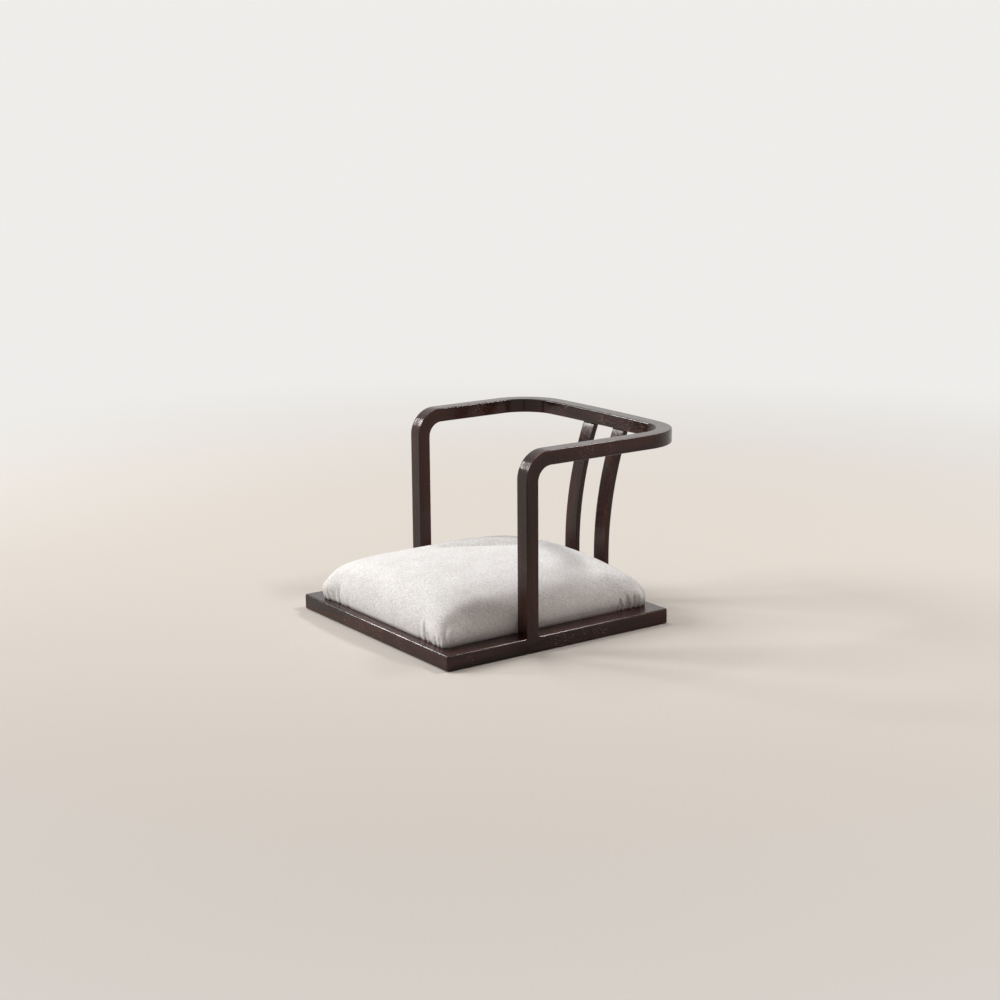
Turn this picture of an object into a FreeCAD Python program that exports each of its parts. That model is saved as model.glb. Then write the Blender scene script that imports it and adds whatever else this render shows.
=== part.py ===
import FreeCAD, Part
import math
import os

# Legless floor chair. Millimetres, +Z up, the sitter faces -Y and +X is the sitter's left.
# Places along Y are counted from the middle of the base. Each finished piece is then moved,
# so that the origin lies on the floor under the middle of the whole chair.

# Base frame
base_width = 480.0
base_depth = 480.0
base_thickness = 26.0
frame_rail_width = 75.0
base_edge_round = 3.0
base_corner_round = 4.0
rebate_width = 15.0
rebate_depth = 14.0

# Seat panel in the frame's rebate
panel_thickness = 12.0
panel_gap = 0.5
panel_screw_pitch = 120.0
panel_screw_length = 20.0
panel_screw_diameter = 3.5
panel_screw_head = 7.0

# Floor pads
floor_pad_diameter = 30.0
floor_pad_height = 2.0
floor_pad_inset = 35.0

# Dowels in the frame's mitres and in the arm joints
dowel_diameter = 8.0
dowel_length = 40.0
mitre_dowel_spots = (30.0, 52.0)
arm_dowel_spacing = 14.0

# Arms: post, bend and arm in one bent piece, set flush with the sides of the base
arm_top = 352.5
arm_width = 30.0
arm_height = 26.0
post_depth = 25.0
bend_outer_radius = 50.0
bend_inner_radius = 27.0
left_post_front = -75.0
right_post_front = 1.0
arm_edge_round = 2.5

# Back rail: a slight bow between two round corners
back_reach = 299.5
back_bow = 10.0
rail_corner_radius = 95.0

# Post tenons, bolts, washers and threaded inserts
tenon_width = 20.0
tenon_depth = 15.0
tenon_length = 10.0
tenon_clearance = 0.2
bolt_diameter = 6.0
bolt_clearance = 0.25
bolt_head_diameter = 12.0
bolt_head_height = 4.0
bolt_socket = 4.0
bolt_bite = 14.0
washer_diameter = 18.0
washer_thickness = 1.6
counterbore_diameter = 20.0
counterbore_depth = 7.0
insert_diameter = 9.0
insert_length = 18.0
insert_setback = 2.0

# Back slats
slat_width = 35.0
slat_thickness = 10.0
slat_gap = 54.0
slat_foot_rise = 2.0
slat_housing_depth = 4.0
slat_bend_start = 88.0
slat_rail_cover = 18.0
slat_mortise_depth = 12.0
slat_edge_round = 2.0
slat_screw_inset = 7.5
slat_screw_length = 32.0
slat_screw_diameter = 4.0
slat_screw_head = 7.5
slat_plug_depth = 3.0

# Seat cushion: a domed pad built up on a board
cushion_side_margin = 6.0
cushion_front_margin = 18.0
cushion_back_margin = 15.0
cushion_side_height = 71.0
cushion_crown = 92.0
cushion_shoulder = 26.0
cushion_tuck = 7.0
cover_thickness = 1.5
cover_turn_under = 35.0
cushion_board_thickness = 8.0
cushion_board_inset = 14.0
cushion_board_corner = 32.0
dust_cloth_thickness = 1.0
cloth_clearance = 0.3

# Form of the cushion's two ends: distance from the end, how far the sides are drawn in there,
# and the share of the full height there
cushion_front_form = [(0.0, 5.0, 0.50), (4.0, 2.0, 0.65), (12.0, 0.0, 0.77), (30.0, 0.0, 0.89),
                      (65.0, 0.0, 0.97), (120.0, 0.0, 1.0)]
cushion_back_form = [(120.0, 0.0, 0.99), (65.0, 0.0, 0.91), (30.0, 0.0, 0.78), (12.0, 2.0, 0.66),
                     (4.0, 7.0, 0.57), (0.0, 13.0, 0.44)]

# Staples that hold the cover under the board
staple_crown = 10.0
staple_wire = 0.8
staple_leg = 5.0
staple_pitch = 44.0
staple_inset = 12.0
staple_corner = 30.0

# Hook and loop patches between panel and cushion
patch_length = 60.0
patch_width = 25.0
patch_inset = 42.0
hook_thickness = 1.0

# Places worked out from the sizes above
half_width = base_width / 2
half_depth = base_depth / 2
base_top = floor_pad_height + base_thickness
panel_seat = base_top - rebate_depth
panel_top = panel_seat + panel_thickness
opening_half_x = half_width - frame_rail_width
opening_half_y = half_depth - frame_rail_width
panel_half_x = opening_half_x + rebate_width - panel_gap
panel_half_y = opening_half_y + rebate_width - panel_gap
arm_underside = arm_top - arm_height
cushion_half = half_width - arm_width - cushion_side_margin
cushion_front = cushion_front_margin - half_depth
cushion_back = half_depth - cushion_back_margin
patch_face = panel_top + hook_thickness
slat_front = half_depth - slat_housing_depth
slat_middle = (slat_gap + slat_width) / 2
slat_foot = floor_pad_height + slat_foot_rise
slat_rise = arm_underside - slat_bend_start
slat_run = back_reach - slat_rail_cover - slat_front
slat_bend_radius = (slat_run ** 2 + slat_rise ** 2) / (2 * slat_run)
bow_radius = (half_width ** 2 + back_bow ** 2) / (2 * back_bow)
bow_centre_y = back_reach - bow_radius
corner_x = half_width - rail_corner_radius
corner_y = bow_centre_y + math.sqrt((bow_radius - rail_corner_radius) ** 2 - corner_x ** 2)

X = FreeCAD.Vector(1, 0, 0)
Y = FreeCAD.Vector(0, 1, 0)
Z = FreeCAD.Vector(0, 0, 1)


def point(x, y, z):
    return FreeCAD.Vector(x, y, z)


def box(x0, x1, y0, y1, z0, z1):
    """Block between two corners."""
    return Part.makeBox(x1 - x0, y1 - y0, z1 - z0, point(x0, y0, z0))


def rod(diameter, start, direction, length):
    return Part.makeCylinder(diameter / 2, length, start, direction)


def arc(start, middle, end):
    return Part.Arc(start, middle, end).toShape()


def line(start, end):
    return Part.makeLine(start, end)


def extrude(edges, travel):
    """Prism over a closed run of edges."""
    return Part.Face(Part.Wire(Part.__sortEdges__(edges))).extrude(travel)


def save(name, pieces):
    """One STEP file for a sub-part, which may be a group of like solids."""
    shape = pieces if isinstance(pieces, Part.Shape) else Part.makeCompound(pieces)
    shape.translate(point(0, -(back_reach - half_depth) / 2, 0))
    shape.exportStep("parts/" + name + ".step")


def sides():
    """Sign and post place of the sitter's left and right arm."""
    return ((1, left_post_front), (-1, right_post_front))


def spread(length, pitch):
    """Even places about 0, a pitch apart, as many as a length holds."""
    count = int(length // pitch) + 1
    return [(i - (count - 1) / 2) * pitch for i in range(count)]


def countersunk_screw(head_centre, direction, diameter, head, length):
    """Screw with a cone head whose flat face is at head_centre."""
    cone_height = (head - diameter) / 2
    cone = Part.makeCone(head / 2, diameter / 2, cone_height, head_centre, direction)
    return cone.fuse(rod(diameter, head_centre, direction, length)).removeSplitter()


# Base frame

def mitre_dowels():
    """Two dowels across each mitre, in plan square to the mitre line."""
    rods = []
    for sx in (-1, 1):
        for sy in (-1, 1):
            along = point(sx, -sy, 0).normalize()
            for spot in mitre_dowel_spots:
                centre = point(sx * (half_width - spot), sy * (half_depth - spot),
                               floor_pad_height + rebate_depth / 2)
                rods.append(rod(dowel_diameter, centre - along * (dowel_length / 2), along,
                                dowel_length))
    return rods


def post_centre(sign, post_front):
    return sign * (half_width - arm_width / 2), post_front + post_depth / 2


def edge_stop(sign, post_front):
    """Square length of the top edge under a post, with a ramp at each end."""
    ramp = 3 * base_edge_round
    low = base_top - base_edge_round
    y0 = post_front
    y1 = post_front + post_depth
    profile = [(y0 - ramp, low), (y0, base_top), (y1, base_top), (y1 + ramp, low)]
    x = sign * half_width
    corners = [point(x, y, z) for y, z in profile]
    edges = [line(corners[i], corners[(i + 1) % 4]) for i in range(4)]
    return extrude(edges, X * (-sign * base_edge_round))


def base_blank():
    """Whole base board with rounded edges, before it is opened and mitred."""
    blank = box(-half_width, half_width, -half_depth, half_depth, floor_pad_height, base_top)
    upright = [e for e in blank.Edges if abs(e.tangentAt(e.FirstParameter).z) > 0.9]
    blank = blank.makeFillet(base_corner_round, upright)
    top = [e for e in blank.Edges if e.BoundBox.ZMin > base_top - 0.01]
    blank = blank.makeFillet(base_edge_round, top)
    for sign, post_front in sides():
        blank = blank.fuse(edge_stop(sign, post_front))
    opening = box(-opening_half_x, opening_half_x, -opening_half_y, opening_half_y,
                  floor_pad_height, base_top)
    rebate = box(-opening_half_x - rebate_width, opening_half_x + rebate_width,
                 -opening_half_y - rebate_width, opening_half_y + rebate_width,
                 panel_seat, base_top)
    return blank.cut(opening).cut(rebate).removeSplitter()


def mitre_spot(sx, sy, reach):
    """Point on the line of a mitre, a reach out from the base's corner."""
    return point(sx * (half_width + reach), sy * (half_depth + reach), 0)


def rail_wedge(turns):
    """Stretch of the base between two mitres: 0 front, 1 left, 2 back, 3 right."""
    corners = ((-1, -1), (1, -1), (1, 1), (-1, 1))
    first = corners[turns]
    second = corners[(turns + 1) % 4]
    plan = [mitre_spot(*first, frame_rail_width), mitre_spot(*second, frame_rail_width),
            mitre_spot(*second, -frame_rail_width), mitre_spot(*first, -frame_rail_width)]
    edges = [line(plan[i], plan[(i + 1) % 4]) for i in range(4)]
    return extrude(edges, Z * base_top)


def base_rails():
    """The four mitred rails, drilled for dowels, posts, slats and screws."""
    blank = base_blank()
    cutters = mitre_dowels()
    for sign, post_front in sides():
        x, y = post_centre(sign, post_front)
        cutters.append(box(x - tenon_width / 2 - tenon_clearance, x + tenon_width / 2 + tenon_clearance,
                           y - tenon_depth / 2 - tenon_clearance, y + tenon_depth / 2 + tenon_clearance,
                           base_top - tenon_length - tenon_clearance, base_top))
        cutters.append(rod(bolt_diameter + 2 * bolt_clearance, point(x, y, floor_pad_height), Z,
                           base_thickness))
        cutters.append(rod(counterbore_diameter, point(x, y, floor_pad_height), Z,
                           counterbore_depth))
        cutters.append(slat_housing(sign))
        cutters.extend(slat_screws_of(sign))
    cutters.extend(panel_screws())
    blank = blank.cut(cutters)
    return [blank.common(rail_wedge(turns)) for turns in range(4)]


def save_base():
    names = ("base_front_rail", "base_left_rail", "base_back_rail", "base_right_rail")
    for name, rail in zip(names, base_rails()):
        save(name, rail)
    save("mitre_dowels", mitre_dowels())
    pads = [rod(floor_pad_diameter, point(sx * (half_width - floor_pad_inset),
                                          sy * (half_depth - floor_pad_inset), 0),
                Z, floor_pad_height) for sx in (-1, 1) for sy in (-1, 1)]
    save("floor_pads", pads)


# Seat panel

def panel_screws():
    """Countersunk screws down through the panel into the frame's lip."""
    spots = []
    for sign in (-1, 1):
        lip_x = sign * (opening_half_x + rebate_width / 2)
        lip_y = sign * (opening_half_y + rebate_width / 2)
        spots += [(lip_x, along) for along in spread(2 * opening_half_y, panel_screw_pitch)]
        spots += [(along, lip_y) for along in spread(2 * opening_half_x, panel_screw_pitch)]
    return [countersunk_screw(point(x, y, panel_top), -Z, panel_screw_diameter,
                              panel_screw_head, panel_screw_length) for x, y in spots]


def save_panel():
    panel = box(-panel_half_x, panel_half_x, -panel_half_y, panel_half_y, panel_seat, panel_top)
    save("seat_panel", panel.cut(panel_screws()))
    save("panel_screws", panel_screws())


# Arms, back rail and their joints

def arm(sign, post_front):
    """Post, bend and arm cut from one side profile, with a tenon at the foot."""
    y0 = post_front
    y1 = post_front + post_depth
    x = sign * half_width
    turn = math.sqrt(0.5)
    outer_y = y0 + bend_outer_radius * (1 - turn)
    outer_z = arm_top - bend_outer_radius * (1 - turn)
    inner_y = y1 + bend_inner_radius * (1 - turn)
    inner_z = arm_underside - bend_inner_radius * (1 - turn)
    outer_low = point(x, y0, arm_top - bend_outer_radius)
    outer_high = point(x, y0 + bend_outer_radius, arm_top)
    inner_low = point(x, y1, arm_underside - bend_inner_radius)
    inner_high = point(x, y1 + bend_inner_radius, arm_underside)
    foot_front = point(x, y0, base_top)
    foot_back = point(x, y1, base_top)
    end_top = point(x, corner_y, arm_top)
    end_bottom = point(x, corner_y, arm_underside)
    profile = [line(foot_front, outer_low),
               arc(outer_low, point(x, outer_y, outer_z), outer_high),
               line(outer_high, end_top), line(end_top, end_bottom), line(end_bottom, inner_high),
               arc(inner_high, point(x, inner_y, inner_z), inner_low),
               line(inner_low, foot_back), line(foot_back, foot_front)]
    body = extrude(profile, X * (-sign * arm_width))
    body = body.makeFillet(arm_edge_round, long_edges(body, corner_y))
    cx, cy = post_centre(sign, post_front)
    tenon = box(cx - tenon_width / 2, cx + tenon_width / 2, cy - tenon_depth / 2,
                cy + tenon_depth / 2, base_top - tenon_length, base_top)
    drilled = [rod(bolt_diameter + 2 * bolt_clearance, point(cx, cy, base_top - tenon_length), Z,
                   tenon_length + insert_setback + insert_length),
               rod(insert_diameter, point(cx, cy, base_top + insert_setback), Z, insert_length)]
    return body.fuse(tenon).removeSplitter().cut(drilled + arm_dowels(sign))


def long_edges(body, end_y):
    """Edges that run along an arm: neither across it nor on its two end faces."""
    chosen = []
    for edge in body.Edges:
        size = edge.BoundBox
        across = size.XLength > 1
        at_foot = size.ZMax < base_top + 0.01
        at_end = size.YMin > end_y - 0.01
        if not (across or at_foot or at_end):
            chosen.append(edge)
    return chosen


def arm_dowels(sign):
    """Two dowels across the joint between an arm and the back rail."""
    x = sign * (half_width - arm_width / 2)
    z = arm_top - arm_height / 2
    return [rod(dowel_diameter, point(x + side * arm_dowel_spacing / 2,
                                      corner_y - dowel_length / 2, z), Y, dowel_length)
            for side in (-1, 1)]


def rail_edge(inset, sign):
    """Corner arc of the back rail on one side, from the arm to the bow."""
    radius = rail_corner_radius - inset
    end_angle = math.atan2(corner_y - bow_centre_y, corner_x)
    spots = [point(sign * (corner_x + radius * math.cos(angle)),
                   corner_y + radius * math.sin(angle), arm_underside)
             for angle in (0.0, end_angle / 2, end_angle)]
    return spots


def back_rail():
    """Bowed rail with its two round corners, open below for the slats."""
    edges = []
    for inset in (0.0, arm_width):
        left = rail_edge(inset, 1)
        right = rail_edge(inset, -1)
        middle = point(0, back_reach - inset, arm_underside)
        edges += [arc(*left), arc(left[2], middle, right[2]), arc(*right)]
    for sign in (1, -1):
        edges.append(line(rail_edge(0.0, sign)[0], rail_edge(arm_width, sign)[0]))
    rail = extrude(edges, Z * arm_height)
    joint_y = corner_y + 0.01
    along = [e for e in rail.Edges
             if e.BoundBox.ZLength < 0.01 and e.BoundBox.YMax > joint_y]
    rail = rail.makeFillet(arm_edge_round, along)
    return rail.cut([slat_blank(1), slat_blank(-1)] + arm_dowels(1) + arm_dowels(-1))


def save_arms():
    save("left_arm", arm(1, left_post_front))
    save("right_arm", arm(-1, right_post_front))
    save("back_rail", back_rail())
    save("arm_dowels", arm_dowels(1) + arm_dowels(-1))


def save_post_hardware():
    bolts = []
    washers = []
    inserts = []
    seat = floor_pad_height + counterbore_depth
    for sign, post_front in sides():
        x, y = post_centre(sign, post_front)
        head_z = seat - washer_thickness
        reach = base_top + insert_setback + bolt_bite - head_z
        head = rod(bolt_head_diameter, point(x, y, head_z - bolt_head_height), Z, bolt_head_height)
        socket = hexagon(bolt_socket, point(x, y, head_z - bolt_head_height), bolt_head_height / 2)
        bolts.append(head.fuse(rod(bolt_diameter, point(x, y, head_z), Z, reach)).cut(socket))
        washers.append(rod(washer_diameter, point(x, y, head_z), Z, washer_thickness).cut(
            rod(bolt_diameter + 2 * bolt_clearance, point(x, y, head_z), Z, washer_thickness)))
        insert_base = point(x, y, base_top + insert_setback)
        inserts.append(rod(insert_diameter, insert_base, Z, insert_length).cut(
            rod(bolt_diameter, insert_base, Z, insert_length)))
    save("post_bolts", bolts)
    save("post_washers", washers)
    save("post_inserts", inserts)


def hexagon(across, centre, height):
    """Hexagonal prism, such as a key socket."""
    radius = across / math.sqrt(3)
    spots = [centre + point(radius * math.cos(math.radians(60 * i)),
                            radius * math.sin(math.radians(60 * i)), 0) for i in range(6)]
    return extrude([line(spots[i], spots[(i + 1) % 6]) for i in range(6)], Z * height)


# Back slats

def slat_blank(sign):
    """Slat without rounded edges: straight at the base, then one long backward bend."""
    lean = math.asin((arm_underside + slat_mortise_depth - slat_bend_start) / slat_bend_radius)
    x = sign * slat_middle - slat_width / 2
    centre = point(x, slat_front + slat_bend_radius, slat_bend_start)
    rows = []
    for offset in (0.0, slat_thickness):
        radius = slat_bend_radius - offset
        rows.append([point(x, slat_front + offset, slat_foot)] +
                    [centre + point(0, -radius * math.cos(a), radius * math.sin(a))
                     for a in (0.0, lean / 2, lean)])
    front, back = rows
    edges = [line(front[0], front[1]), arc(*front[1:]), line(front[3], back[3]),
             arc(back[3], back[2], back[1]), line(back[1], back[0]), line(back[0], front[0])]
    return extrude(edges, X * slat_width)


def slat_housing(sign):
    """Shallow open housing for a slat's foot in the back face of the base."""
    x = sign * slat_middle
    return box(x - slat_width / 2, x + slat_width / 2, slat_front, half_depth,
               slat_foot, base_top)


def slat_screw_heights():
    return floor_pad_height + slat_screw_inset, base_top - slat_screw_inset


def slat_screws_of(sign):
    """Screws through a slat's foot into the base, heads below the plugs."""
    head_y = slat_front + slat_thickness - slat_plug_depth
    return [countersunk_screw(point(sign * slat_middle, head_y, z), -Y, slat_screw_diameter,
                              slat_screw_head, slat_screw_length) for z in slat_screw_heights()]


def slat_plugs_of(sign):
    face_y = slat_front + slat_thickness
    return [rod(slat_screw_head, point(sign * slat_middle, face_y, z), -Y, slat_plug_depth)
            for z in slat_screw_heights()]


def slat(sign):
    """Slat with its four long edges rounded and its foot drilled."""
    blank = slat_blank(sign)
    long = [e for e in blank.Edges if e.BoundBox.XLength < 1 and e.BoundBox.ZLength > slat_thickness]
    rounded = blank.makeFillet(slat_edge_round, long)
    return rounded.cut(slat_screws_of(sign) + slat_plugs_of(sign))


def save_slats():
    save("left_back_slat", slat(1))
    save("right_back_slat", slat(-1))
    save("slat_screws", slat_screws_of(1) + slat_screws_of(-1))
    save("slat_plugs", slat_plugs_of(1) + slat_plugs_of(-1))


# Seat cushion

def cushion_stations():
    """Place in Y, how far the sides are drawn in, and share of the height there."""
    middle = (cushion_front + cushion_back) / 2
    front = [(cushion_front + run, drawn, share) for run, drawn, share in cushion_front_form]
    back = [(cushion_back - run, drawn, share) for run, drawn, share in cushion_back_form]
    return front + [(middle, 0.0, 1.0)] + back


def cushion_section(y, drawn, share, inset):
    """Section across the cushion: flat below, bulging sides, round shoulders, crown on top."""
    low = base_top + inset
    shoulder = base_top + cushion_side_height * share - inset
    crown = base_top + cushion_crown * share - inset
    scale = (shoulder - low) / cushion_side_height
    radius = cushion_shoulder * scale
    rounding = radius * (1 - math.sqrt(0.5))
    half = cushion_half - drawn - inset
    foot = half - cushion_tuck * scale
    side_top = shoulder - radius
    halves = []
    for sign in (1, -1):
        halves.append([point(sign * foot, y, low), point(sign * half, y, (low + side_top) / 2),
                       point(sign * foot, y, side_top),
                       point(sign * (foot - rounding), y, shoulder - rounding),
                       point(sign * (foot - radius), y, shoulder)])
    left, right = halves
    top = point(0, y, crown)
    return Part.Wire([line(right[0], left[0]), arc(*left[0:3]), arc(*left[2:5]),
                      arc(left[4], top, right[4]), arc(right[4], right[3], right[2]),
                      arc(right[2], right[1], right[0])])


def cushion_form(inset):
    """Whole cushion, drawn in all round by inset."""
    middle = (cushion_front + cushion_back) / 2
    shrink = 1 - 2 * inset / (cushion_back - cushion_front)
    sections = [cushion_section(middle + (y - middle) * shrink, drawn, share, inset)
                for y, drawn, share in cushion_stations()]
    return Part.makeLoft(sections, True, False)


def cushion_board():
    """Board that the foam is glued to, with round corners."""
    half_x = cushion_half - cushion_tuck - cushion_board_inset
    low = base_top + cover_thickness
    board = box(-half_x, half_x, cushion_front + cushion_board_inset,
                cushion_back - cushion_board_inset, low, low + cushion_board_thickness)
    upright = [e for e in board.Edges if e.BoundBox.ZLength > cushion_board_thickness / 2]
    return board.makeFillet(cushion_board_corner, upright)


def underside_window(gap):
    """Area of the board that the turned-under cover leaves bare, less a gap."""
    margin = cushion_board_inset + cover_turn_under + gap
    half_x = cushion_half - cushion_tuck - margin
    return (-half_x, half_x, cushion_front + margin, cushion_back - margin)


def staples():
    """Staples through the cover's turned-under edge into the board."""
    x0, x1, y0, y1 = underside_window(-staple_inset)
    middle_y = (y0 + y1) / 2
    made = []
    for along in spread(y1 - y0 - 2 * staple_corner, staple_pitch):
        made += [staple(x0, middle_y + along, Y), staple(x1, middle_y + along, Y)]
    for along in spread(x1 - x0 - 2 * staple_corner, staple_pitch):
        made += [staple(along, y0, X), staple(along, y1, X)]
    return made


def staple(x, y, along):
    """Crown flush with the cloth's underside and two legs up into the board."""
    low = base_top
    half = staple_crown / 2
    wire = staple_wire / 2

    def bar(start, end, z0, z1):
        dx = abs(along.x)
        dy = abs(along.y)
        return box(x + dx * start - dy * wire, x + dx * end + dy * wire,
                   y + dy * start - dx * wire, y + dy * end + dx * wire, z0, z1)

    crown = bar(-half, half, low, low + staple_wire)
    legs = [bar(-half, staple_wire - half, low, low + staple_leg),
            bar(half - staple_wire, half, low, low + staple_leg)]
    return crown.fuse(legs).removeSplitter()


def save_cushion():
    board = cushion_board()
    inside = cushion_form(cover_thickness)
    window = box(*underside_window(0.0), base_top, base_top + cover_thickness)
    cover = cushion_form(0.0).cut(inside).cut(window).cut(staples())
    save("cushion_cover", cover)
    save("cushion_foam", cushion_form(cover_thickness + cloth_clearance).cut(board))
    save("cushion_board", board.cut(staples()))
    save("cover_staples", staples())
    cloth_top = base_top + cover_thickness
    cloth = box(*underside_window(cloth_clearance), cloth_top - dust_cloth_thickness, cloth_top)
    save("dust_cloth", cloth)


def patches(z0, z1):
    """Patches of fastening tape, one near each corner of the seat panel."""
    half_x = panel_half_x - patch_inset
    half_y = panel_half_y - patch_inset
    return [box(x, x + patch_length, y, y + patch_width, z0, z1)
            for x in (-half_x, half_x - patch_length) for y in (-half_y, half_y - patch_width)]


def save_patches():
    save("hook_patches", patches(panel_top, patch_face))
    save("loop_patches", patches(patch_face, base_top + cover_thickness - dust_cloth_thickness))


os.makedirs("parts", exist_ok=True)
save_base()
save_panel()
save_arms()
save_post_hardware()
save_slats()
save_cushion()
save_patches()
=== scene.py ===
"""The looks of a legless floor chair: dark open-grain wood, a linen cushion, a pale studio floor."""

import math

import bmesh
import bpy
import numpy as np
from mathutils import Matrix, Quaternion, Vector


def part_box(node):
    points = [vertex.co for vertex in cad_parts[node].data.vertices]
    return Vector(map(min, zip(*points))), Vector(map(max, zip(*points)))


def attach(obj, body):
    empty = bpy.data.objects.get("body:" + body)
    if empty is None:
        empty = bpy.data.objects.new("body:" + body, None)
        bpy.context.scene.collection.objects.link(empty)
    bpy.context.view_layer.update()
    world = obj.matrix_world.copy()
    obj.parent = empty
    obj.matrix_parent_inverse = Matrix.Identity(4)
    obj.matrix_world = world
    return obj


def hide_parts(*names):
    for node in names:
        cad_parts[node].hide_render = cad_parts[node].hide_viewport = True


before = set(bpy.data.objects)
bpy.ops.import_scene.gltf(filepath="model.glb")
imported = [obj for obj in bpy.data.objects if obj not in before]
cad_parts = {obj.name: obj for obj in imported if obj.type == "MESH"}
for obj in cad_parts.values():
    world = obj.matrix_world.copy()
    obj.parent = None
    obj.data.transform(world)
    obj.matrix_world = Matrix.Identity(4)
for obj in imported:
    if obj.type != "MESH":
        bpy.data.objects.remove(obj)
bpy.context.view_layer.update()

MM = 0.001

# Camera, fitted to the photograph: place in metres, angles in degrees, focal length and width in pixels
CAMERA_PLACE = (2.68636, -1.89509, 0.96850)
CAMERA_AZIMUTH = 54.663
CAMERA_ELEVATION = 12.918
CAMERA_ROLL = -0.407
CAMERA_FOCAL = 1845.66
PICTURE_WIDTH = 1000.0
SENSOR_WIDTH = 36.0

# Key lamp: a low sun, with its spread in degrees
KEY_STRENGTH = 1.85
KEY_SPREAD = 18.0
KEY_DIRECTION = (-0.59, -0.66, 0.47)
KEY_COLOUR = (0.98, 1.0, 1.0)

# Area lamps: direction, distance, width and height in metres, power and roll in degrees
SOFTBOXES = {
    "window": ((-0.45, -0.05, 0.89), 5.0, 2.36, 1.8, 84.0, 0.0),
    "strip": ((-0.795, -0.42, 0.44), 4.0, 1.30, 0.30, 46.0, -48.0),
    "rim": ((0.25, 0.56, 0.79), 3.2, 0.9, 0.22, 38.0, 0.0),
}
LAMP_TARGET = (0, 0, 0.15)

# World and floor
AMBIENT_COLOUR = (1.0, 0.86, 0.80)
AMBIENT_LEVEL = 0.26
BACKDROP_TINT = (1.0, 0.99, 0.97)
BACKDROP_LEVEL = 0.86
FLOOR_DARK = (0.585, 0.545, 0.495, 1)
FLOOR_LIGHT = (0.635, 0.595, 0.545, 1)
FLOOR_RADIUS = 30.0
FADE_START = 0.7
FADE_END = 3.0

# Finish colours, linear
WOOD_DARK = (0.0090, 0.0034, 0.0027, 1)
WOOD_WARM = (0.046, 0.0118, 0.0074, 1)
WOOD_PORE = (0.004, 0.002, 0.0018, 1)
WOOD_FLECK = (0.33, 0.17, 0.15, 1)
LACQUER_TINT = (1.0, 0.85, 0.79, 1)
LINEN_LIGHT = (0.915, 0.915, 0.91, 1)
LINEN_DARK = (0.58, 0.555, 0.535, 1)

# How the grain turns with the bent pieces
ARM_BEND = 50 * MM
ARM_GRAIN_TURN = 40 * MM
RAIL_CORNER = 95 * MM
RAIL_BOW = 10 * MM
RAIL_GRAIN_TURN = 80 * MM

# Wood: how fast each pattern changes along the grain and the two ways across it, per metre
FIGURE_SCALE = (3.0, 42.0, 42.0)
DRIFT_SCALE = (4.0, 9.0, 9.0)
PORE_SCALE = (55.0, 1500.0, 1500.0)
FLECK_SCALE = (320.0, 620.0, 620.0)
WAVE_SCALE = (14.0, 60.0, 60.0)
RING_RATE = 1500.0
RING_SLANT = 0.55
RING_DRIFT = 34.0

# Plywood: the thickness of two plies
PLY_PAIR = 3 * MM

# Linen: the width of a pair of threads, and how fast its tone changes across and along a thread, per metre
THREAD_PAIR = 2.2 * MM
THREAD_FINE = 900.0
THREAD_LONG = 130.0

# Linen: the scale of its mottle and clouds, and the share of threads, mottle and clouds in its tone
MOTTLE_SCALE = 330.0
CLOUD_SCALE = 38.0
THREAD_SHARE = 0.55
MOTTLE_SHARE = 0.35
CLOUD_SHARE = 0.10

# Where pale flecks of filler show in the wood: x, y, z and reach, in mm
FLECKS = {
    "base_front_rail": ((-85, -270, 9, 25), (-42, -270, 11, 40), (5, -270, 11, 45), (92, -270, 13, 22)),
    "base_left_rail": ((240, -35, 14, 35), (240, 5, 16, 30), (240, 54, 14, 25), (240, -225, 14, 14)),
    "left_arm": ((240, 25, 346, 26), (240, 74, 344, 16)),
    "right_arm": ((-210, 113, 343, 25),),
    "back_rail": ((-109, 238, 344, 22), (20, 240, 344, 34), (75, 239, 343, 42), (125, 237, 345, 38)),
}

# Cushion: its rounded form. Over the two rises, ranges of height above the foot, the corners' radius and the
# rounding of the shoulders grow to their full size
VOXEL = 4.5 * MM
CORNER_RADIUS = 30 * MM
FOOT_RADIUS = 14 * MM
CORNER_RISE = (6 * MM, 36 * MM)
SHOULDER_RISE = (22 * MM, 48 * MM)
SHOULDER_PASSES = 52
FOAM_INSET = 11 * MM
FOAM_CLEARANCE = 0.2 * MM
COVER_CLEARANCE = 0.1 * MM
BOARD_INSET = 0.6 * MM
UNDERSIDE_DEPTH = 3 * MM

# Cushion: how the cover settles, and how much spare cloth it has, most of it low down at the corners
PRESSURE = 4.0
SIM_FRAMES = 20
HOLD = 0.10
HELD_HEIGHT = 3 * MM
HOLD_FADE = 8 * MM
FULLNESS = 0.30
FULL_HEIGHT = 26 * MM
SIDE_SHARE = 0.30
CORNER_REACH = 55 * MM
GIVE_OUT = 2.5 * MM
GIVE_IN = 2.0 * MM

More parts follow.
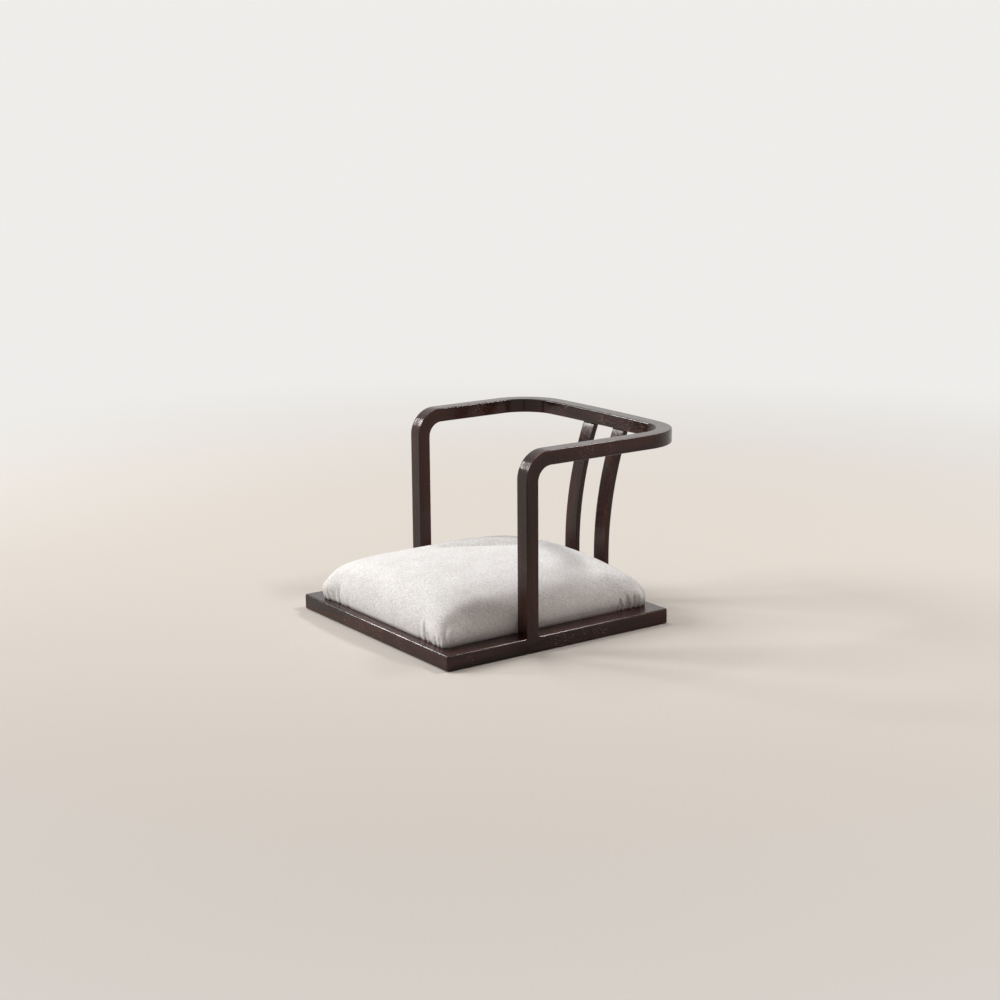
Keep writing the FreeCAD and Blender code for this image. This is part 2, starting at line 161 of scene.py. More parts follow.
# Folds at each corner of the cover: place round the corner, depth, half width and height, in mm.
# The place is 0 at the middle of the round corner, below 0 along the front or back, above 0 along the side.
FOLDS = {
    ("left", "front"): ((-56, 2.3, 3.0, 46), (-73, 0.9, 5.0, 40), (-40, 0.9, 4.0, 26), (-23, 1.6, 3.2, 26),
                        (-11, 1.2, 2.8, 22), (2, 1.0, 2.8, 20), (13, 0.8, 3.0, 18)),
    ("right", "front"): ((-60, 1.8, 3.6, 44), (-30, 1.2, 3.4, 32), (-14, 1.2, 3.0, 34), (-44, 0.6, 3.5, 24),
                         (-90, 0.8, 5.0, 30), (3, 1.2, 2.8, 26), (18, 1.3, 3.0, 26), (34, 1.0, 3.2, 24)),
    ("left", "back"): ((67, 4.0, 2.0, 24), (58, 7.5, 2.1, 28), (49, 10.0, 2.2, 31), (40, 9.0, 2.1, 29),
                       (31, 10.0, 2.2, 31), (22, 9.0, 2.2, 28), (12, 4.0, 2.2, 25), (0, 2.2, 2.6, 22),
                       (-14, 1.8, 3.0, 24), (-30, 1.2, 3.2, 22)),
    ("right", "back"): ((-32, 1.6, 2.8, 22), (-20, 2.4, 2.4, 24), (-9, 2.6, 2.4, 25), (3, 2.2, 2.6, 22),
                        (16, 2.6, 2.5, 26), (29, 1.8, 2.8, 22), (44, 1.3, 3.0, 20)),
}

# Every fold: its lean, the share of its height with full depth, the height over which it starts, and
# the place and height of the ridges beside it, as shares of its half width and depth
FOLD_LEAN = 0.15
FOLD_FULL = 0.45
FOLD_START = 5 * MM
RIDGE_PLACE = 2.0
RIDGE_HEIGHT = 0.2

# Where faces are cut once more for the folds: how near a corner, how high, and how far out
FINE_REACH = 62 * MM
FINE_HEIGHT = 46 * MM
FINE_OUTSET = 12 * MM

# How far each corner bulges over its foot, in mm, and the height, spread and reach of the bulge
PUFFS = {("left", "front"): 3, ("right", "front"): 8, ("left", "back"): 4, ("right", "back"): 5}
PUFF_HEIGHT = 22 * MM
PUFF_SPREAD = 19 * MM
PUFF_REACH = 40 * MM

# The crease across the top in front of the back right corner, with a long slope on its near side
CREASE_START = (-142 * MM, -26 * MM)
CREASE_END = (-41 * MM, 78 * MM)
CREASE_DEPTH = 12 * MM
CREASE_NEAR = 38 * MM
CREASE_FAR = 10 * MM
CREASE_FADE = 26 * MM


class Finish:
    """One procedural material, with short calls for the nodes that the finishes share."""

    def __init__(self, name):
        self.material = bpy.data.materials.new(name)
        self.material.use_nodes = True
        self.tree = self.material.node_tree
        self.shader = self.tree.nodes["Principled BSDF"]
        self.place = self.node("TexCoord").outputs["Object"]

    def node(self, kind, **settings):
        made = self.tree.nodes.new("ShaderNode" + kind)
        for name, value in settings.items():
            setattr(made, name, value)
        return made

    def feed(self, socket, value):
        """Links a node's output to the socket, or sets a plain value on it."""
        if isinstance(value, bpy.types.NodeSocket):
            self.tree.links.new(value, socket)
        else:
            socket.default_value = value

    def set(self, **values):
        """Sets the shader's own sockets, such as Coat_Weight=0.3."""
        for name, value in values.items():
            self.feed(self.shader.inputs[name.replace("_", " ")], value)

    def math(self, operation, *values):
        made = self.node("Math", operation=operation)
        for socket, value in zip(made.inputs, values):
            self.feed(socket, value)
        return made.outputs[0]

    def split(self, vector):
        made = self.node("SeparateXYZ")
        self.feed(made.inputs[0], vector)
        return made.outputs[0], made.outputs[1], made.outputs[2]

    def join(self, x, y, z):
        made = self.node("CombineXYZ")
        for socket, value in zip(made.inputs, (x, y, z)):
            self.feed(socket, value)
        return made.outputs[0]

    def scaled(self, parts, scales, shift=0.0):
        """A vector of the three parts, each times its own scale, moved along by shift."""
        return self.join(*(self.math("MULTIPLY_ADD", p, s, shift) for p, s in zip(parts, scales)))

    def noise(self, vector, scale=1.0, detail=2.0, roughness=0.5, distortion=0.0):
        made = self.node("TexNoise")
        for name, value in (("Vector", vector), ("Scale", scale), ("Detail", detail),
                            ("Roughness", roughness), ("Distortion", distortion)):
            self.feed(made.inputs[name], value)
        return made.outputs[0]

    def range(self, value, low, high, to_low=0.0, to_high=1.0):
        made = self.node("MapRange", interpolation_type="SMOOTHSTEP")
        for socket, given in zip(made.inputs, (value, low, high, to_low, to_high)):
            self.feed(socket, given)
        return made.outputs[0]

    def mix(self, share, first, second):
        made = self.node("Mix", data_type="RGBA")
        for index, value in ((0, share), (6, first), (7, second)):
            self.feed(made.inputs[index], value)
        return made.outputs[2]

    def near(self, spots):
        """1 close to one of the spots (x, y, z, reach), in mm, and 0 away from all of them."""
        nearest = 0.0
        for x, y, z, reach in spots:
            away = self.node("VectorMath", operation="DISTANCE")
            self.feed(away.inputs[0], self.place)
            self.feed(away.inputs[1], (x * MM, y * MM, z * MM))
            share = self.range(away.outputs["Value"], reach * MM, 0.3 * reach * MM)
            nearest = self.math("MAXIMUM", nearest, share)
        return nearest

    def bump(self, height, distance, strength=1.0, below=None):
        made = self.node("Bump")
        self.feed(made.inputs["Height"], height)
        self.feed(made.inputs["Distance"], distance)
        self.feed(made.inputs["Strength"], strength)
        if below is not None:
            self.feed(made.inputs["Normal"], below)
        return made.outputs[0]


def straight_grain(finish, axis):
    """Distance along the grain and two across it, in metres, for a straight piece."""
    x, y, z = finish.split(finish.place)
    return {"x": (x, y, z), "y": (y, x, z), "z": (z, x, y)}[axis]


def turned_grain(finish, run_in, run_out, centre_in, centre_out, radius, aside):
    """The same for a piece that runs in, turns a quarter round a centre and runs out.

    Both rise along the piece, run_in up to the turn and run_out on from it.
    """
    before = finish.math("MINIMUM", finish.math("SUBTRACT", run_in, centre_in), 0.0)
    after = finish.math("MAXIMUM", finish.math("SUBTRACT", run_out, centre_out), 0.0)
    lift = finish.math("MAXIMUM", finish.math("SUBTRACT", run_in, centre_in), 0.0)
    reach = finish.math("MAXIMUM", finish.math("SUBTRACT", centre_out, run_out), 0.0)
    angle = finish.math("ARCTAN2", lift, reach)
    along = finish.math("MULTIPLY_ADD", angle, radius, finish.math("ADD", before, after))
    square = finish.math("ADD", finish.math("MULTIPLY", lift, lift), finish.math("MULTIPLY", reach, reach))
    return along, finish.math("SQRT", square), aside


def wood(name, route, seed, spots=()):
    """Espresso-stained open-grain wood under a satin lacquer. route gives the grain's own coordinates.

    spots are places (x, y, z, reach), in mm, where the filler shows in the grain as pale flecks.
    """
    finish = Finish(name)
    along, across, through = route(finish)
    grain = (along, across, through)
    figure = finish.noise(finish.scaled(grain, FIGURE_SCALE, seed), detail=3.0, distortion=0.6)
    drift = finish.noise(finish.scaled(grain, DRIFT_SCALE, seed + 5), detail=1.0)
    slant = finish.math("MULTIPLY_ADD", through, RING_SLANT, across)
    shift = finish.math("MULTIPLY", drift, RING_DRIFT)
    rings = finish.math("SINE", finish.math("MULTIPLY_ADD", slant, RING_RATE, shift))
    early = finish.range(rings, -0.2, 0.9)
    pores = finish.noise(finish.scaled(grain, PORE_SCALE, seed + 9), detail=2.0, roughness=0.6)
    crowding = finish.math("MULTIPLY_ADD", early, 0.8, 0.2)
    open_pores = finish.math("MULTIPLY", finish.range(pores, 0.53, 0.63), crowding)
    fleck = finish.noise(finish.scaled(grain, FLECK_SCALE, seed + 13), detail=1.0)
    flecks = finish.math("MULTIPLY", finish.range(fleck, 0.63, 0.72), finish.near(spots))
    colour = finish.mix(finish.range(figure, 0.30, 0.72), WOOD_DARK, WOOD_WARM)
    colour = finish.mix(finish.math("MULTIPLY", open_pores, 0.75), colour, WOOD_PORE)
    colour = finish.mix(flecks, colour, WOOD_FLECK)
    waviness = finish.noise(finish.scaled(grain, WAVE_SCALE, seed + 21), detail=1.0)
    relief = finish.bump(waviness, 0.0004)
    relief = finish.bump(finish.math("MULTIPLY", open_pores, -1.0), 0.00015, 0.6, relief)
    gloss = finish.math("MULTIPLY_ADD", figure, 0.08, 0.11)
    finish.set(
        Base_Color=colour,
        Roughness=finish.math("MULTIPLY_ADD", open_pores, 0.22, gloss),
        Normal=relief,
        IOR=1.30,
        Specular_Tint=LACQUER_TINT,
        Coat_Weight=0.24,
        Coat_Roughness=0.08,
    )
    return finish.material


def linen(name):
    """Light grey linen melange: a plain weave of uneven threads, seen from whichever side faces out."""
    finish = Finish(name)
    x, y, z = finish.split(finish.place)
    facing = finish.node("TexCoord").outputs["Normal"]
    weights = [finish.math("POWER", finish.math("ABSOLUTE", part), 4.0) for part in finish.split(facing)]
    total = finish.math("ADD", finish.math("ADD", weights[0], weights[1]), weights[2])
    threads = 2 * math.pi / THREAD_PAIR

    def streaks(p, p_scale, q, q_scale, layer):
        scaled_p = finish.math("MULTIPLY", p, p_scale)
        scaled_q = finish.math("MULTIPLY", q, q_scale)
        return finish.noise(finish.join(scaled_p, scaled_q, layer))

    bumps, tones = [], []
    for p, q in ((y, z), (x, z), (x, y)):
        lattice = finish.math(
            "MULTIPLY",
            finish.math("SINE", finish.math("MULTIPLY", p, threads)),
            finish.math("SINE", finish.math("MULTIPLY", q, threads)),
        )
        bumps.append(finish.math("SQRT", finish.math("ABSOLUTE", lattice)))
        warp = streaks(p, THREAD_FINE, q, THREAD_LONG, 0.0)
        weft = streaks(p, THREAD_LONG, q, THREAD_FINE, 7.0)
        over = finish.range(lattice, -0.2, 0.2)
        under = finish.math("SUBTRACT", 1.0, over)
        seen_warp = finish.math("MULTIPLY", warp, over)
        seen_weft = finish.math("MULTIPLY", weft, under)
        tones.append(finish.math("ADD", seen_warp, seen_weft))

    def blended(parts):
        sums = [finish.math("MULTIPLY", part, weight) for part, weight in zip(parts, weights)]
        whole = finish.math("ADD", finish.math("ADD", sums[0], sums[1]), sums[2])
        return finish.math("DIVIDE", whole, total)

    weave = blended(bumps)
    tone = blended(tones)
    mottle = finish.noise(finish.place, scale=MOTTLE_SCALE, detail=2.0, roughness=0.7)
    cloud = finish.noise(finish.place, scale=CLOUD_SCALE, detail=2.0)
    mixed = finish.math("MULTIPLY_ADD", mottle, MOTTLE_SHARE, finish.math("MULTIPLY", tone, THREAD_SHARE))
    mixed = finish.math("MULTIPLY_ADD", cloud, CLOUD_SHARE, mixed)
    colour = finish.mix(finish.range(mixed, 0.36, 0.64), LINEN_DARK, LINEN_LIGHT)
    finish.set(
        Base_Color=colour,
        Roughness=0.92,
        Specular_IOR_Level=0.25,
        Sheen_Weight=0.25,
        Sheen_Roughness=0.5,
        Normal=finish.bump(weave, 0.0003, 0.6),
    )
    return finish.material


def plain(name, light, dark, scale, roughness, grain=0.0002, metallic=0.0, stretch=(1, 1, 1)):
    """A mottled finish of two colours with fine relief, for the hidden pieces and the metal ones."""
    finish = Finish(name)
    parts = finish.split(finish.place)
    spots = finish.noise(finish.scaled(parts, [scale * s for s in stretch]), detail=4.0, roughness=0.65)
    finish.set(
        Base_Color=finish.mix(finish.range(spots, 0.35, 0.65), dark, light),
        Roughness=finish.math("MULTIPLY_ADD", spots, 0.2, roughness - 0.1),
        Metallic=metallic,
        Normal=finish.bump(spots, grain, 0.5),
    )
    return finish.material


def plywood(name):
    """Birch plywood: long face grain, and plies of alternating tone on the edges."""
    finish = Finish(name)
    x, y, z = finish.split(finish.place)
    grain = finish.noise(finish.scaled((x, y, z), (160.0, 5.0, 400.0)), detail=3.0)
    plies = finish.range(finish.math("SINE", finish.math("MULTIPLY", z, 2 * math.pi / PLY_PAIR)), -0.3, 0.3)
    _, _, up = finish.split(finish.node("TexCoord").outputs["Normal"])
    edge = finish.math("SUBTRACT", 1.0, finish.range(finish.math("ABSOLUTE", up), 0.3, 0.8))
    dark_plies = finish.math("MULTIPLY", finish.math("MULTIPLY", plies, edge), 0.6)
    colour = finish.mix(finish.range(grain, 0.35, 0.65), (0.42, 0.27, 0.14, 1), (0.60, 0.43, 0.26, 1))
    colour = finish.mix(dark_plies, colour, (0.22, 0.12, 0.06, 1))
    finish.set(Base_Color=colour, Roughness=0.6, Normal=finish.bump(grain, 0.0002, 0.4))
    return finish.material


def dress(node, material):
    """Gives a CAD node one material on all its faces."""
    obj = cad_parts[node]
    obj.data.materials.clear()
    obj.data.materials.append(material)


def dress_wood(node, route, seed):
    """Gives a node wood of its own, with its flecks."""
    dress(node, wood("wood_" + node, route, seed, FLECKS.get(node, ())))


def arm_route(node):
    """The way the grain of an arm runs: up the post, round the bend and back along the arm."""
    low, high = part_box(node)

    def route(f):
        x, y, z = f.split(f.place)
        return turned_grain(f, z, y, high.z - ARM_BEND, low.y + ARM_BEND, ARM_GRAIN_TURN, x)

    return route


def rail_route(f):
    """The way the grain of the back rail runs: back, round each corner and along its bow."""
    _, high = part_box("back_rail")
    x, y, z = f.split(f.place)
    inward = f.math("SUBTRACT", 0.0, f.math("ABSOLUTE", x))
    corner_y = high.y - RAIL_CORNER - RAIL_BOW
    return turned_grain(f, y, inward, corner_y, RAIL_CORNER - high.x, RAIL_GRAIN_TURN, z)


def dress_frame():
    """Materials for every CAD node."""
    straight = (("base_front_rail", "x"), ("base_back_rail", "x"), ("base_left_rail", "y"),
                ("base_right_rail", "y"), ("left_back_slat", "z"), ("right_back_slat", "z"),
                ("slat_plugs", "x"))
    for number, (node, axis) in enumerate(straight):
        dress_wood(node, lambda f, a=axis: straight_grain(f, a), 3.0 * number)
    dress_wood("left_arm", arm_route("left_arm"), 31.0)
    dress_wood("right_arm", arm_route("right_arm"), 35.0)
    dress_wood("back_rail", rail_route, 47.0)
    board = plywood("birch_plywood")
    dress("seat_panel", board)
    dress("cushion_board", board)
    beech = plain("beech_dowel", (0.55, 0.38, 0.22, 1), (0.40, 0.25, 0.13, 1), 90.0, 0.6, stretch=(1, 6, 6))
    zinc = plain("zinc_steel", (0.62, 0.62, 0.60, 1), (0.42, 0.43, 0.44, 1), 500.0, 0.35, 0.00005, 1.0)
    brass = plain("brass_insert", (0.78, 0.58, 0.27, 1), (0.60, 0.42, 0.18, 1), 500.0, 0.32, 0.00005, 1.0)
    felt = plain("wool_felt", (0.10, 0.09, 0.085, 1), (0.045, 0.042, 0.04, 1), 900.0, 0.95, 0.0008)
    cloth = plain("bonded_dust_cloth", (0.03, 0.03, 0.032, 1), (0.012, 0.012, 0.013, 1), 700.0, 0.85, 0.0004)
    tape = plain("hook_and_loop_tape", (0.028, 0.027, 0.027, 1), (0.01, 0.01, 0.01, 1), 1400.0, 0.8, 0.0008)
    for node, material in (("mitre_dowels", beech), ("arm_dowels", beech), ("panel_screws", zinc),
                           ("slat_screws", zinc), ("post_bolts", zinc), ("post_washers", zinc),
                           ("cover_staples", zinc), ("post_inserts", brass), ("floor_pads", felt),
                           ("dust_cloth", cloth), ("hook_patches", tape), ("loop_patches", tape)):
        dress(node, material)


def evaluated_copy(obj, name):
    """A new object with the mesh that obj shows now, modifiers included."""
    graph = bpy.context.evaluated_depsgraph_get()
    mesh = bpy.data.meshes.new_from_object(obj.evaluated_get(graph))
    made = bpy.data.objects.new(name, mesh)
    bpy.context.scene.collection.objects.link(made)
    return made


def points_of(mesh):
    """The mesh's vertices as rows of x, y and z."""
    co = np.empty(len(mesh.vertices) * 3, np.float32)
    mesh.vertices.foreach_get("co", co)
    return co.reshape(-1, 3).astype(float)


def normals_of(mesh):
    """The mesh's vertex normals as rows of x, y and z."""
    no = np.empty(len(mesh.vertices) * 3, np.float32)
    mesh.vertices.foreach_get("normal", no)
    return no.reshape(-1, 3).astype(float)


def set_points(mesh, points):
    """Moves the mesh's vertices to those points."""
    mesh.vertices.foreach_set("co", points.astype(np.float32).ravel())
    mesh.update()


def cushion_form():
    """The cushion's outer form as one even closed mesh, from its cover, foam and board."""
    joined = bmesh.new()
    for node in ("cushion_cover", "cushion_foam", "cushion_board"):
        joined.from_mesh(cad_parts[node].data)
    mesh = bpy.data.meshes.new("cushion_form")
    joined.to_mesh(mesh)
    joined.free()
    form = bpy.data.objects.new("cushion_form", mesh)
    bpy.context.scene.collection.objects.link(form)
    remesh = form.modifiers.new("even", "REMESH")
    remesh.mode = "VOXEL"
    remesh.voxel_size = VOXEL
    made = evaluated_copy(form, "linen_cover")
    bpy.data.objects.remove(form)
    return made


def smooth(value, low, high):
    """0 below low, 1 above high and a smooth step between, for numbers or arrays."""
    share = np.clip((value - low) / (high - low), 0, 1)
    return share * share * (3 - 2 * share)


def corner_measures(points, low, high):
    """How far each point lies past the start of a round corner across and along, and the radius there.

    The cushion's middle and half its size follow them.
    """
    middle = (low + high) / 2
    half = (high - low) / 2
    radius = FOOT_RADIUS + (CORNER_RADIUS - FOOT_RADIUS) * smooth(points[:, 2] - low[2], *CORNER_RISE)
    past = np.abs(points[:, :2] - middle[:2]) - (half[:2] - radius[:, None])
    return past, radius, middle, half


def round_corners(obj, low, high):
    """Turns the square corners, seen from above, into round ones."""
    points = points_of(obj.data)
    past, radius, middle, half = corner_measures(points, low, high)
    share = np.maximum(past, 0) / radius[:, None]
    length = np.maximum(np.linalg.norm(share, axis=1), 1e-9)
    turned = share * (share.max(axis=1) / length)[:, None]
    both = (past > 0).all(axis=1)
    reach = half[:2] - radius[:, None] + turned * radius[:, None]
    side = np.sign(points[:, :2] - middle[:2])
    points[both, :2] = (middle[:2] + side * reach)[both]
    set_points(obj.data, points)


def soften_shoulders(obj, low):
    """Rounds the edge between the top and the sides more fully, and leaves the foot as it is."""
    height = points_of(obj.data)[:, 2] - low[2]
    upper = obj.vertex_groups.new(name="upper")
    for index, share in enumerate(smooth(height, *SHOULDER_RISE)):
        upper.add([index], float(share), "REPLACE")
    rounding = obj.modifiers.new("rounding", "SMOOTH")
    rounding.factor = 0.5
    rounding.iterations = SHOULDER_PASSES
    rounding.vertex_group = "upper"
    name = obj.name
    made = evaluated_copy(obj, "rounded")
    bpy.data.objects.remove(obj)
    made.name = name
    return made


def swell(obj):
    """Lets the cover settle by cloth simulation, with spare cloth near its lower edge, so that it gathers.

    It is held fast along the bottom and softly by the foam elsewhere. Above its lowest edge no point moves
    out or in by more than the two caps.
    """
    mesh = obj.data
    start = points_of(mesh)
    out = normals_of(mesh)
    low, high = start.min(axis=0), start.max(axis=0)
    height = start[:, 2] - low[2]
    free = np.clip((height - HELD_HEIGHT) / HOLD_FADE, 0, 1)
    past, _, _, _ = corner_measures(start, low, high)
    near_corner = smooth(past.min(axis=1), -CORNER_REACH, 0)
    fuller = np.exp(-height / FULL_HEIGHT) * (SIDE_SHARE + (1 - SIDE_SHARE) * near_corner)
    held = obj.vertex_groups.new(name="held")
    gathered = obj.vertex_groups.new(name="gathered")
    for index in range(len(start)):
        held.add([index], float(1 - free[index] * (1 - HOLD)), "REPLACE")
        gathered.add([index], float(fuller[index]), "REPLACE")
    cloth = obj.modifiers.new("Cloth", "CLOTH")
    settings = cloth.settings
    settings.quality = 6
    settings.mass = 0.3
    settings.tension_stiffness = 15
    settings.compression_stiffness = 15
    settings.shear_stiffness = 7.5
    settings.bending_stiffness = 0.3
    settings.use_pressure = True
    settings.uniform_pressure_force = PRESSURE
    settings.vertex_group_mass = "held"
    settings.vertex_group_shrink = "gathered"
    settings.shrink_min = 0.0
    settings.shrink_max = -FULLNESS
    settings.effector_weights.gravity = 0
    cloth.collision_settings.use_collision = False
    cloth.point_cache.frame_start = 1
    cloth.point_cache.frame_end = SIM_FRAMES
    for step in range(1, SIM_FRAMES + 1):
        bpy.context.scene.frame_set(step)
    graph = bpy.context.evaluated_depsgraph_get()
    settled = points_of(obj.evaluated_get(graph).data)
    obj.modifiers.remove(cloth)
    bpy.context.scene.frame_set(1)
    proud = ((settled - start) * out).sum(axis=1)
    capped = np.clip(proud, -GIVE_IN, GIVE_OUT)
    set_points(mesh, settled + out * ((capped - proud) * free)[:, None])


def subdivided(obj):
    """The same piece with one smooth subdivision applied."""
    subdivision = obj.modifiers.new("fine", "SUBSURF")
    subdivision.levels = 1
    subdivision.render_levels = 1
    name = obj.name
    made = evaluated_copy(obj, "fine")
    bpy.data.objects.remove(obj)
    made.name = name
    return made


def refine_corners(obj, low, high):
    """Cuts the faces low on the corners once more, so that the folds there are crisp."""
    points = points_of(obj.data)
    past, _, _, _ = corner_measures(points, low, high)
    near = (past.min(axis=1) > -FINE_REACH) & (points[:, 2] < low[2] + FINE_HEIGHT)
    fine = near & (past.max(axis=1) > FINE_OUTSET)
    mesh = bmesh.new()
    mesh.from_mesh(obj.data)
    edges = [e for e in mesh.edges if fine[e.verts[0].index] and fine[e.verts[1].index]]
    bmesh.ops.subdivide_edges(mesh, edges=edges, cuts=1, use_grid_fill=True, smooth=0.0)
    mesh.to_mesh(obj.data)
    mesh.free()


def fold_corners(obj, low, high):
    """Presses the gathered folds into the cover round its corners."""
    points = points_of(obj.data)
    out = normals_of(obj.data)
    past, radius, middle, _ = corner_measures(points, low, high)
    side = np.sign(points[:, :2] - middle[:2])
    quarter = math.pi / 4
    turn = np.arctan2(np.maximum(past[:, 0], 0), np.maximum(past[:, 1], 0)) - quarter
    round_place = turn * radius
    along_side = quarter * radius - past[:, 1]
    along_end = past[:, 0] - quarter * radius
    straight_place = np.where(past[:, 0] > past[:, 1], along_side, along_end)
    place = np.where((past > 0).all(axis=1), round_place, straight_place)
    height = points[:, 2] - low[2]
    upright = smooth(np.linalg.norm(out[:, :2], axis=1), 0.35, 0.8)
    depth = np.zeros(len(points))
    for (across, along), folds in FOLDS.items():
        turned = (1 if across == "left" else -1, -1 if along == "front" else 1)
        here = (side == turned).all(axis=1)
        for spot, deep, half_width, tall in folds:
            width = half_width * MM
            off = place - spot * MM - FOLD_LEAN * math.sin(spot) * height
            reach = 1 - smooth(height, FOLD_FULL * tall * MM, tall * MM)
            groove = np.exp(-(off / width) ** 2)
            ridges = np.exp(-((np.abs(off) - RIDGE_PLACE * width) / width) ** 2)
            depth += here * reach * deep * MM * (groove - RIDGE_HEIGHT * ridges)
        bulge = np.exp(-((height - PUFF_HEIGHT) / PUFF_SPREAD) ** 2)
        puff = smooth(past.min(axis=1), -PUFF_REACH, 0) * bulge
        depth -= here * puff * PUFFS[(across, along)] * MM
    depth *= smooth(height, 0, FOLD_START)
    set_points(obj.data, points - out * (depth * upright)[:, None])


def crease_top(obj):
    """Presses a soft crease into the top, long on the near side and short on the far one."""
    points = points_of(obj.data)
    start, end = np.array(CREASE_START), np.array(CREASE_END)
    along = (end - start) / np.linalg.norm(end - start)
    beyond = np.array((-along[1], along[0]))
    run = (points[:, :2] - start) @ along
    off = (points[:, :2] - start) @ beyond
    width = np.where(off < 0, CREASE_NEAR, CREASE_FAR)
    length = np.linalg.norm(end - start)
    fading = smooth(run, length - CREASE_FADE, length + 2 * CREASE_FADE)
    ends = smooth(run, -CREASE_FADE, CREASE_FADE) * (1 - fading)
    upward = smooth(normals_of(obj.data)[:, 2], 0.5, 0.8)
    points[:, 2] -= CREASE_DEPTH * np.exp(-(off / width) ** 2) * ends * upward
    set_points(obj.data, points)


def seat_underside(obj):
    """Lays the turned-under edge of the cover flat and leaves the middle of the board bare."""
    points = points_of(obj.data)
    down = normals_of(obj.data)[:, 2] < -0.5
    cover_low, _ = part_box("cushion_cover")
    board_low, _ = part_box("cushion_board")
    window_low, window_high = (np.array(c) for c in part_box("dust_cloth"))
    bare = ((points[:, :2] > window_low[:2]) & (points[:, :2] < window_high[:2])).all(axis=1)
    low = down & (points[:, 2] < board_low.z + UNDERSIDE_DEPTH)
    points[low & ~bare, 2] = cover_low.z + COVER_CLEARANCE
    points[low & bare, 2] = board_low.z + BOARD_INSET
    set_points(obj.data, points)


def foam_finish():
    """Pale open-cell foam."""
    finish = Finish("foam")
    cells = finish.noise(finish.place, scale=900.0, detail=2.0)
    finish.set(
        Base_Color=finish.mix(cells, (0.62, 0.56, 0.42, 1), (0.80, 0.75, 0.60, 1)),
        Roughness=0.95,
        Normal=finish.bump(cells, 0.0006, 0.8),
    )
    return finish.material


def make_cushion():
    """The linen cover, settled, folded and creased, and the foam core inside it."""
    cover = cushion_form()
    form = points_of(cover.data)
    low, high = form.min(axis=0), form.max(axis=0)
    round_corners(cover, low, high)
    cover = soften_shoulders(cover, low)
    core = evaluated_copy(cover, "foam_core")
    points = points_of(core.data)
    board_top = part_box("cushion_board")[1].z
    inset = points - normals_of(core.data) * FOAM_INSET
    inset[:, 2] = np.maximum(inset[:, 2], board_top + FOAM_CLEARANCE)
    set_points(core.data, inset)
    swell(cover)
    cover = subdivided(cover)
    refine_corners(cover, low, high)
    fold_corners(cover, low, high)
    crease_top(cover)
    crease_top(core)
    seat_underside(cover)
    pieces = ((cover, linen("linen_melange"), "cushion_cover", "linen", 0.85),
              (core, foam_finish(), "cushion_foam", "foam", 0.9))
    for piece, material, node, slot, fill in pieces:
        piece.data.shade_smooth()
        piece.data.materials.clear()
        piece.data.materials.append(material)
        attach(piece, "cushion")
        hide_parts(node)


def turn_frame(azimuth, elevation, roll):
    """Rotation of a camera that looks at the object from that azimuth and elevation, in degrees."""
    a, e, r = (math.radians(v) for v in (azimuth, elevation, roll))
    back = Vector((math.sin(a) * math.cos(e), -math.cos(a) * math.cos(e), math.sin(e)))
    right = Vector((math.cos(a), math.sin(a), 0))
    up = back.cross(right)
    turned_right = right * math.cos(r) + up * math.sin(r)
    turned_up = up * math.cos(r) - right * math.sin(r)
    return Matrix((turned_right, turned_up, back)).transposed()


def make_camera():
    """The photograph's own view."""
    data = bpy.data.cameras.new("camera")
    data.sensor_width = SENSOR_WIDTH
    data.lens = CAMERA_FOCAL * SENSOR_WIDTH / PICTURE_WIDTH
    camera = bpy.data.objects.new("camera", data)
    bpy.context.scene.collection.objects.link(camera)
    turn = turn_frame(CAMERA_AZIMUTH, CAMERA_ELEVATION, CAMERA_ROLL)
    camera.matrix_world = Matrix.Translation(CAMERA_PLACE) @ turn.to_4x4()
    bpy.context.scene.camera = camera


def softbox(name, direction, distance, width, height, power, roll):
    """An area lamp in that direction from the target, facing it and turned by roll, in degrees."""
    data = bpy.data.lights.new(name, "AREA")
    data.shape = "RECTANGLE"
    data.size = width
    data.size_y = height
    data.energy = power
    lamp = bpy.data.objects.new(name, data)
    bpy.context.scene.collection.objects.link(lamp)
    toward = Vector(direction).normalized()
    lamp.location = Vector(LAMP_TARGET) + toward * distance
    lamp.rotation_mode = "QUATERNION"
    lamp.rotation_quaternion = toward.to_track_quat("Z", "Y") @ Quaternion((0, 0, 1), math.radians(roll))


def make_key():
    """The low sun that lights the front and the sitter's right side."""
    data = bpy.data.lights.new("key", "SUN")
    data.energy = KEY_STRENGTH
    data.angle = math.radians(KEY_SPREAD)
    data.color = KEY_COLOUR
    lamp = bpy.data.objects.new("key", data)
    bpy.context.scene.collection.objects.link(lamp)
    lamp.rotation_mode = "QUATERNION"
    lamp.rotation_quaternion = Vector(KEY_DIRECTION).to_track_quat("Z", "Y")


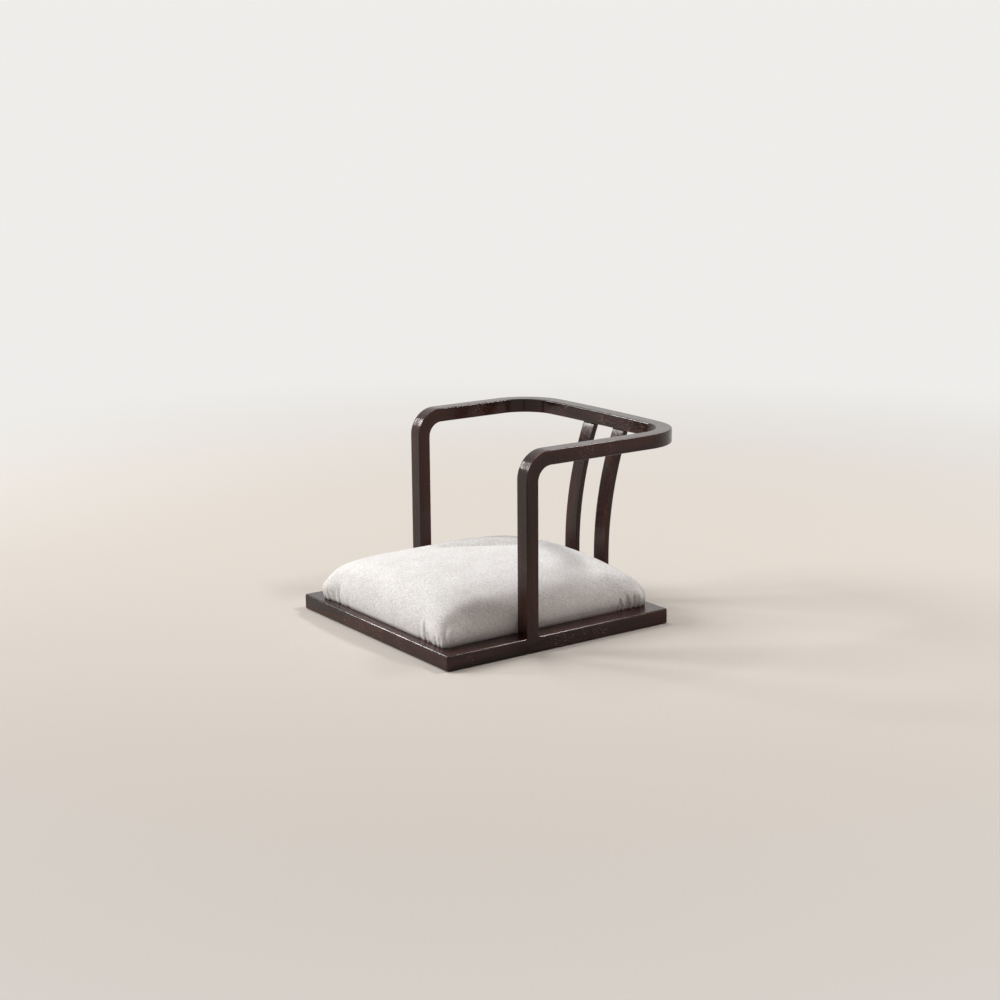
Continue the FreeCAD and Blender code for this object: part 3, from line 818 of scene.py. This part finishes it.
def make_floor():
    """A pale floor that fades into the backdrop away from the chair."""
    floor_mesh = bpy.data.meshes.new("studio_floor")
    shape = bmesh.new()
    bmesh.ops.create_circle(shape, cap_ends=True, segments=96, radius=FLOOR_RADIUS)
    shape.to_mesh(floor_mesh)
    shape.free()
    floor = bpy.data.objects.new("studio_floor", floor_mesh)
    bpy.context.scene.collection.objects.link(floor)
    finish = Finish("pale_floor")
    x, y, _ = finish.split(finish.place)
    square = finish.math("ADD", finish.math("MULTIPLY", x, x), finish.math("MULTIPLY", y, y))
    away = finish.math("SQRT", square)
    speckle = finish.noise(finish.place, scale=260.0, detail=3.0)
    finish.set(
        Base_Color=finish.mix(speckle, FLOOR_DARK, FLOOR_LIGHT),
        Roughness=0.85,
        Specular_IOR_Level=0.2,
    )
    glow = finish.node("Emission")
    glow.inputs["Color"].default_value = (*(BACKDROP_LEVEL * part for part in BACKDROP_TINT), 1)
    fade = finish.node("MixShader")
    finish.feed(fade.inputs[0], finish.range(away, FADE_START, FADE_END))
    finish.tree.links.new(finish.shader.outputs[0], fade.inputs[1])
    finish.tree.links.new(glow.outputs[0], fade.inputs[2])
    finish.tree.links.new(fade.outputs[0], finish.tree.nodes["Material Output"].inputs["Surface"])
    floor_mesh.materials.append(finish.material)


def make_world():
    """A soft ambient light, and the pale backdrop that the camera, the lacquer and the metal see."""
    world = bpy.data.worlds.new("studio")
    bpy.context.scene.world = world
    world.use_nodes = True
    nodes, links = world.node_tree.nodes, world.node_tree.links
    ambient = nodes["Background"]
    ambient.inputs["Color"].default_value = (*AMBIENT_COLOUR, 1)
    ambient.inputs["Strength"].default_value = AMBIENT_LEVEL
    backdrop = nodes.new("ShaderNodeBackground")
    backdrop.inputs["Color"].default_value = (*BACKDROP_TINT, 1)
    backdrop.inputs["Strength"].default_value = BACKDROP_LEVEL
    path = nodes.new("ShaderNodeLightPath")
    seen = path.outputs["Is Camera Ray"]
    for other in ("Is Glossy Ray", "Is Transmission Ray"):
        either = nodes.new("ShaderNodeMath")
        either.operation = "MAXIMUM"
        links.new(seen, either.inputs[0])
        links.new(path.outputs[other], either.inputs[1])
        seen = either.outputs[0]
    choice = nodes.new("ShaderNodeMixShader")
    links.new(seen, choice.inputs[0])
    links.new(ambient.outputs[0], choice.inputs[1])
    links.new(backdrop.outputs[0], choice.inputs[2])
    links.new(choice.outputs[0], nodes["World Output"].inputs["Surface"])


make_camera()
dress_frame()
make_cushion()
make_floor()
make_world()
make_key()
for name, place in SOFTBOXES.items():
    softbox(name, *place)
bpy.context.scene.view_settings.view_transform = "Standard"
